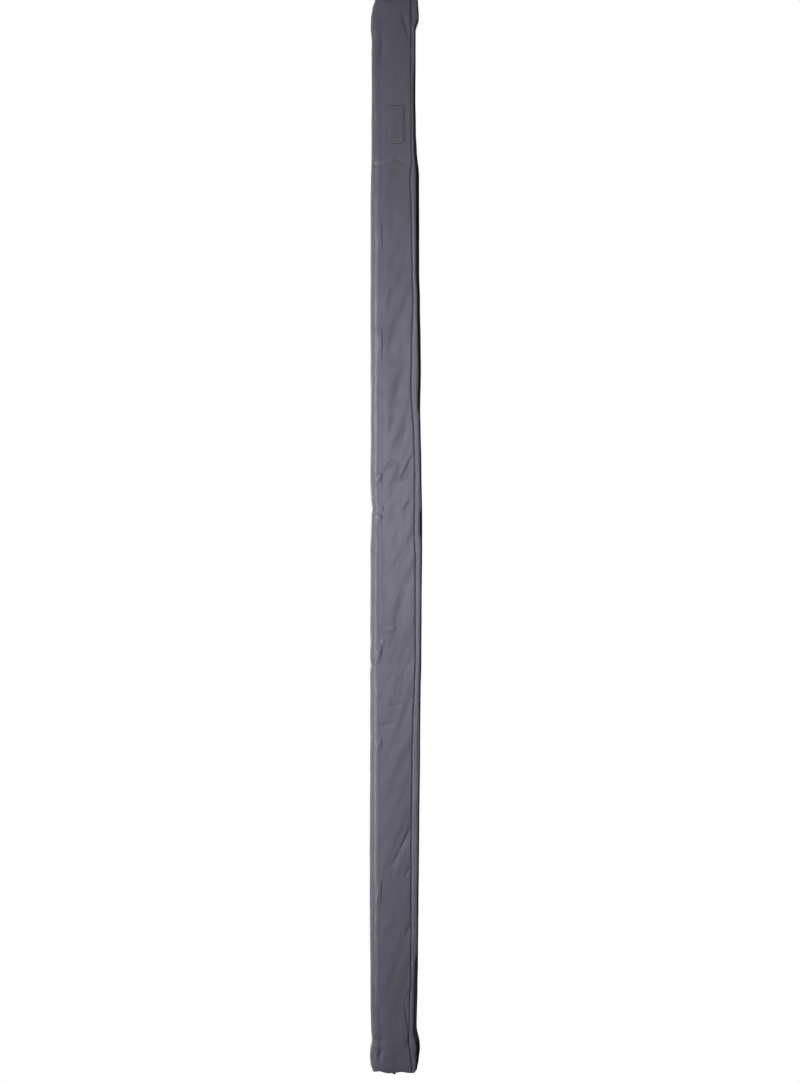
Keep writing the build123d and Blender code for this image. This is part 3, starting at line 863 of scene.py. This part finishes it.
def end_stitch_at(sign):
    """The row function of an end panel's stitches."""
    rim, middle = rim_of(sign)

    def at(share):
        point, _ = walk(rim, share)
        inwards = (middle - point).normalized() * FROM_RIM
        x = sign * (HALF_BAG + CLOTH * 0.5 + 0.0005) + end_wobble(sign * HALF_BAG, point.y)
        return Vector((x, point.x + inwards.x, point.y + inwards.y)), Vector((sign, 0, 0))
    return at


for side, sign in SIDES:
    row = row_of("stitches_end_" + side, stitch, END_STITCHES, end_stitch_at(sign), STITCH_LIFT)
    dress(row, "grey_thread", "root")
print("end stitches", END_STITCHES, "on each end")

# %% [markdown]
# A plain patch of the bag's own cloth is sewn on the front near the right hand
# end. Its corners are rounded by pushing a grid's corner squares on to a disc,
# and the stitching presses it down near its edge.

# %% Plain patch
PATCH_X, PATCH_Z = 0.973, 0.0
PATCH_HALF = Vector((0.0485, 0.0225))
PATCH_CORNER, PATCH_SEAM = 0.008, 0.0032
PATCH_OUT, PRESSED_IN, PRESSED_WIDTH, EDGE_IN = 0.0021, 0.0011, 0.0016, 0.0008
PATCH_STITCHES = 62


def patch_outline(u, v, inset_by=0.0):
    """A point of a rectangle with rounded corners, from the middle out."""
    half = PATCH_HALF - Vector((inset_by, inset_by))
    spot = Vector(((u * 2 - 1) * half.x, (v * 2 - 1) * half.y))
    corner = PATCH_CORNER - inset_by * 0.6
    over = Vector([max(0.0, abs(s) - (h - corner)) / corner for s, h in zip(spot, half)])
    disc = (over.x * math.sqrt(1 - over.y ** 2 / 2), over.y * math.sqrt(1 - over.x ** 2 / 2))
    for axis in (0, 1):
        if over[axis] > 0:
            spot[axis] = math.copysign(half[axis] - corner + disc[axis] * corner, spot[axis])
    return spot


def patch_place(u, v):
    spot = patch_outline(u, v)
    edge = min(PATCH_HALF.x - abs(spot.x), PATCH_HALF.y - abs(spot.y))
    out = PATCH_OUT - PRESSED_IN * math.exp(-((edge - PATCH_SEAM) / PRESSED_WIDTH) ** 2)
    out -= EDGE_IN * max(0.0, 1 - edge / PRESSED_WIDTH)
    x, z = PATCH_X + spot.x, PATCH_Z + spot.y
    return Vector((x, front_surface(x, z) - out, z))


def patch_stitch_at(share):
    """The row function of the patch's stitches, round it from one corner."""
    perimeter = [(0.0, 0.0), (1.0, 0.0), (1.0, 1.0), (0.0, 1.0), (0.0, 0.0)]
    sides = [PATCH_HALF.x, PATCH_HALF.y, PATCH_HALF.x, PATCH_HALF.y]
    left = share * sum(sides)
    for (a, b), length in zip(zip(perimeter, perimeter[1:]), sides):
        if left <= length:
            break
        left -= length
    u, v = (start + (end - start) * left / length for start, end in zip(a, b))
    spot = patch_outline(u, v, PATCH_SEAM)
    x, z = PATCH_X + spot.x, PATCH_Z + spot.y
    return Vector((x, front_surface(x, z) - 0.0010, z)), Vector((0, -1, 0))


patch = thicken(bent_grid("bag_patch", 90, 44, patch_place), 0.0012)
dress(patch, "grey_pvc", "cover", "blank_patch")
patch_stitch = small_bar(0.0030, THREAD * 2.6, THREAD * 1.6)
row = row_of("stitches_patch", patch_stitch, PATCH_STITCHES, patch_stitch_at, STITCH_LIFT)
dress(row, "dark_thread", "cover")
print("patch", [round(value * 2000) for value in PATCH_HALF], "mm")

# %% [markdown]
# A loop of webbing is sewn on the left hand end, to pull the bag out straight
# or to hang it up. It is a strip bent into a half ring, with its ends let in.

# %% End loop
LOOP_Z, LOOP_CLOTH = 0.0035, 0.0014
tab_low, tab_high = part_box("end_tab")


def loop_place(u, v):
    reach = tab_high[0] - tab_low[0] - 0.0002
    half = (tab_high[2] - tab_low[2]) / 2 - 0.0001
    angle = math.pi * (v - 0.5)
    x = tab_high[0] - math.cos(angle) * reach
    z = LOOP_Z + math.sin(angle) * half * (1 + 0.25 * math.cos(angle))
    y = tab_low[1] + (tab_high[1] - tab_low[1]) * u
    return Vector((x, y, z + 0.0004 * math.sin(5 * u)))


loop = thicken(bent_grid("bag_end_loop", 14, 30, loop_place), LOOP_CLOTH, 1.0)
dress(loop, "webbing", "root", "end_tab")
print("loop stands out", round((tab_high[0] - tab_low[0]) * 1000, 1), "mm")

# %% [markdown]
# The zip lies behind the storm flap. Each half is a woven tape with a coil of
# nylon along its edge. The upper half goes with the cover, the lower half stays.
# Where the bag's seam hangs low, the zip hangs with it.

# %% Zip halves
ZIP_HALF, COIL_STEP, COIL = 1.2668, 0.0027, (0.0019, 0.0028, 0.0019)
TAPE, TAPE_BACK, TAPE_CLEAR = 0.0007, 0.0010, 0.0012
GAP, END_GAP, END_GAP_FROM, END_GAP_EASE = 0.0001, 0.0003, 1.195, 0.025
zip_boxes = {1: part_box("zip_upper"), -1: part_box("zip_lower")}


def tape_place(level):
    """The place function of a tape, above the zip's middle or below it."""
    low, high = zip_boxes[level]
    width = (high[2] - low[2]) * (0.55 if level > 0 else 0.8)

    def place(u, v):
        x = low[0] + (high[0] - low[0]) * u
        room = zip_middle(x) - bottom_of(x) - TAPE_CLEAR if level < 0 else width
        gap = GAP + END_GAP * ramp(abs(x) - END_GAP_FROM, END_GAP_EASE)
        z = zip_middle(x) + level * (gap + min(width, room) * v)
        return Vector((x, high[1] - TAPE_BACK - 0.0001 * math.sin(x * 70), z))
    return place


def coil_at(level):
    """The row function of the coil along a tape's edge."""
    low, high = zip_boxes[level]

    def at(share):
        x = low[0] + (high[0] - low[0]) * share
        return Vector((x, low[1] + 0.0016, zip_middle(x) + level * 0.0021)), Vector((0, -1, 0))
    return at


coil_count = int(2 * ZIP_HALF / COIL_STEP)
for level, node, body in ((1, "zip_upper", "cover"), (-1, "zip_lower", "root")):
    tape = thicken(bent_grid(node + "_tape", 180, 6, tape_place(level)), TAPE, 0.0)
    dress(tape, "zip_tape", body, node)
    coil = row_of(node + "_coil", small_bar(*COIL), coil_count, coil_at(level), 0.0)
    dress(coil, "black_nylon", body)
print("zip", coil_count, "coils on each half")

# %% [markdown]
# The canopy is one long sheet of ripstop cloth. In the bag it is wound ten and a
# half times round the front bar. The turns are a spiral path on a section that
# grows with every turn, and the outer turns are wound a little looser.

# %% Canopy on the bar
TURNS, PITCH, CANOPY = 10.5, 0.00064, 0.00042
STEPS_PER_TURN, FIRST_TURN, LOOSE = 44, 0.0006, 0.0006
BAR_Y, BAR_HALF_Y, BAR_HALF_Z, BAR_CORNER = -0.07655, 0.02625, 0.018, 0.0012
roll_low, roll_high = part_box("canopy_roll")


def turn_path(growth):
    """A closed turn from the bottom's middle, up the front and over the top."""
    half_y, half_z, corner = BAR_HALF_Y + growth, BAR_HALF_Z + growth, BAR_CORNER + growth
    corners = [(BAR_Y, -half_z, 0), (BAR_Y - half_y, -half_z, corner),
               (BAR_Y - half_y, half_z, corner), (BAR_Y + half_y, half_z, corner),
               (BAR_Y + half_y, -half_z, corner), (BAR_Y, -half_z, 0)]
    return rounded_path(corners, 5)


roll_rows = int(TURNS * STEPS_PER_TURN)
spiral = []
for index in range(roll_rows + 1):
    turns = TURNS * index / roll_rows
    spiral.append(walk(turn_path(FIRST_TURN + PITCH * turns), turns % 1.0))


def roll_place(u, v):
    x = roll_low[0] + (roll_high[0] - roll_low[0]) * u
    point, outward = spiral[round(v * roll_rows)]
    uneven = 0.5 + noise.noise(Vector((x * 5, point.x * 20, v * 1.5)))
    away = math.copysign(1.0, point.y)
    return Vector((x, point.x, point.y + away * LOOSE * v * abs(outward.y) * uneven))


rolled = thicken(bent_grid("canopy_rolled", 72, roll_rows, roll_place), CANOPY, 0.0)
dress(rolled, "canopy_cloth", "front_bar", "canopy_roll")
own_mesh(rolled)
print("canopy", roll_rows, "rows,", len(rolled.data.polygons), "faces")

# %% [markdown]
# From the top of the roll the canopy runs back to its bead in the rail. On the
# awning this stretch grows into the whole roof when the bar is pulled out. Here it
# runs from the rail to the bar, with rows of points close enough to bend smoothly.

# %% Canopy to the rail
LEAD_PATH = [(-0.0163, 0.0310, 0), (-0.0428, 0.0262, 0.02), (-0.07655, 0.0262, 0)]
lead_points = rounded_path(LEAD_PATH, 10)


def lead_place(u, v):
    x = roll_low[0] + (roll_high[0] - roll_low[0]) * u
    point, _ = walk(lead_points, v)
    return Vector((x, point.x, point.y + 0.0003 * noise.noise(Vector((x * 7, v * 3, 1.0)))))


lead = thicken(bent_grid("canopy_stretch", 72, 64, lead_place), CANOPY, 0.0)
lead.data.materials.append(FINISHES["canopy_cloth"])
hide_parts("canopy_lead")
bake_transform(lead)
print("canopy cut 2.296 by 2.18 m")

# %% [markdown]
# Three straps hold roll and rafters together. Each is a strip of webbing that
# goes once round and overlaps itself on top, where its hook and loop faces meet.

# %% Straps
STRAP_WIDTH, STRAP, STRAP_TURN, STRAP_BOW = 0.038, 0.0012, 0.012, 0.0005
STRAP_BACK, STRAP_FRONT, STRAP_HIGH = -0.0166, -0.1119, 0.0324
OVERLAP_FROM, OVERLAP_LENGTH, OVERLAP_ASIDE = -0.036, 0.050, 0.0008
OVERLAP_UP, LOOSE_END = 0.0013, 0.0016
strap_points = rounded_path([(STRAP_BACK, -STRAP_HIGH, 0), (STRAP_FRONT, -STRAP_HIGH, STRAP_TURN),
                             (STRAP_FRONT, STRAP_HIGH, STRAP_TURN), (STRAP_BACK, STRAP_HIGH, 0)], 10)


def strap_place(middle):
    """The place function of a strap that goes round at a place along the bag."""
    def place(u, v):
        point, outward = walk(strap_points, v)
        bow = STRAP_BOW * math.sin(math.pi * v) * math.cos(math.pi * (u - 0.5))
        return Vector((middle + STRAP_WIDTH * (u - 0.5), point.x, point.y + outward.y * bow))
    return place


def overlap_place(middle):
    """The place function of a strap's overlap, with its loose end a little up."""
    def place(u, v):
        y = OVERLAP_FROM - OVERLAP_LENGTH * v
        lift = OVERLAP_UP + LOOSE_END * max(0.0, v - 0.8)
        return Vector((middle + STRAP_WIDTH * (u - 0.5) + OVERLAP_ASIDE, y, STRAP_HIGH + lift))
    return place


for side, middle in (("left", -0.860), ("middle", 0.0), ("right", 0.860)):
    for part, grid in (("", strap_place(middle)), ("_overlap", overlap_place(middle))):
        strip = thicken(bent_grid("strap_" + side + "_webbing" + part, 12, 60, grid), STRAP, 0.0)
        nodes = () if part else ("strap_" + side,)
        dress(strip, "webbing", "root", *nodes)
        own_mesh(strip)
print("3 straps,", STRAP_WIDTH * 1000, "mm wide")

# %% [markdown]
# The bag's panels are flat cuts of coated cloth, sewn tight. The size of each
# cut is the length of the path that it follows.

# %% Cuts of the bag
print("7 cuts for the bag, the long ones 2.548 m")

# %% [markdown]
# Such an awning is bolted to a vehicle's roof, so the floor is as far down as
# the legs' feet reach when they are drawn out. It is plain and pale. To the
# camera it is white, as the background is, and it still takes a shadow.

# %% Floor
FLOOR_Z, FLOOR_HALF, FLOOR_GLOW = -2.118, 6.0, 0.86


def add_floor():
    mesh = bpy.data.meshes.new("floor")
    work = bmesh.new()
    bmesh.ops.create_grid(work, x_segments=1, y_segments=1, size=FLOOR_HALF)
    bmesh.ops.translate(work, verts=work.verts, vec=(0.0, -1.0, FLOOR_Z))
    work.to_mesh(mesh)
    work.free()
    floor = bpy.data.objects.new("floor", mesh)
    bpy.context.scene.collection.objects.link(floor)
    material = bpy.data.materials.new("floor")
    material.use_nodes = True
    tree = material.node_tree
    shader = tree.nodes["Principled BSDF"]
    shader.inputs["Base Color"].default_value = (0.82, 0.82, 0.82, 1.0)
    shader.inputs["Roughness"].default_value = 0.9
    path = tree.nodes.new("ShaderNodeLightPath")
    seen = math_node(tree, "MAXIMUM", path.outputs["Is Camera Ray"], path.outputs["Is Glossy Ray"])
    tree.links.new(math_node(tree, "MULTIPLY", seen, FLOOR_GLOW), shader.inputs["Emission Strength"])
    shader.inputs["Emission Color"].default_value = (1.0, 1.0, 1.0, 1.0)
    mesh.materials.append(material)


add_floor()
print("floor at", FLOOR_Z, "m")

# %% [markdown]
# The world gives a little even light. To the camera, and in what metal mirrors,
# it is plain white, which comes from its colour and not from more light.

# %% World
WORLD_LIGHT = 0.10


def add_world():
    world = bpy.data.worlds.new("world")
    bpy.context.scene.world = world
    world.use_nodes = True
    tree = world.node_tree
    background = tree.nodes["Background"]
    background.inputs["Color"].default_value = (1.0, 1.0, 1.0, 1.0)
    path = tree.nodes.new("ShaderNodeLightPath")
    plain = math_node(tree, "MAXIMUM", path.outputs["Is Camera Ray"], path.outputs["Is Glossy Ray"])
    plain = math_node(tree, "MAXIMUM", plain, path.outputs["Is Transmission Ray"])
    extra = math_node(tree, "MULTIPLY", plain, 1.0 - WORLD_LIGHT)
    tree.links.new(math_node(tree, "ADD", extra, WORLD_LIGHT), background.inputs["Strength"])


add_world()
print("world light", WORLD_LIGHT)

# %% [markdown]
# Two key lamps hang over the bag, side by side, so that the rounded top edge has
# its highlight along the whole length and fades towards the ends. A lamp further
# out is for the canopy once it is rolled out, a weak one in front fills the
# front panel, and one behind keeps the rail out of the dark.

# %% Lamps
# Name, place, target, size, power in watts and spread in degrees.
LAMPS = [("key_right", (0.46, -1.25, 2.10), (0.46, -0.08, 0.03), (0.8, 0.5), 3.2, 62),
         ("key_left", (-0.64, -1.25, 2.10), (-0.64, -0.08, 0.03), (0.8, 0.5), 3.0, 62),
         ("canopy", (0.0, -2.6, 2.6), (0.0, -1.6, 0.0), (2.6, 0.5), 2.0, 44),
         ("fill", (0.10, -3.0, 0.35), (0.10, -0.1, 0.0), (0.8, 0.4), 3.5, 74),
         ("back", (0.0, 2.0, 1.5), (0.0, 0.0, 0.0), (2.5, 0.8), 22.0, 180)]


def add_lamp(name, place, target, size, power, spread):
    """An area lamp that looks at a target. A smaller spread keeps its light nearer the middle."""
    data = bpy.data.lights.new(name, "AREA")
    data.shape = "RECTANGLE"
    data.size, data.size_y = size
    data.energy = power
    data.spread = math.radians(spread)
    lamp = bpy.data.objects.new(name, data)
    bpy.context.scene.collection.objects.link(lamp)
    way = Vector(target) - Vector(place)
    turn = way.to_track_quat("-Z", "X").to_matrix().to_4x4()
    lamp.matrix_world = Matrix.Translation(place) @ turn


for lamp in LAMPS:
    add_lamp(*lamp)
print("lit by", ", ".join(lamp[0] for lamp in LAMPS))
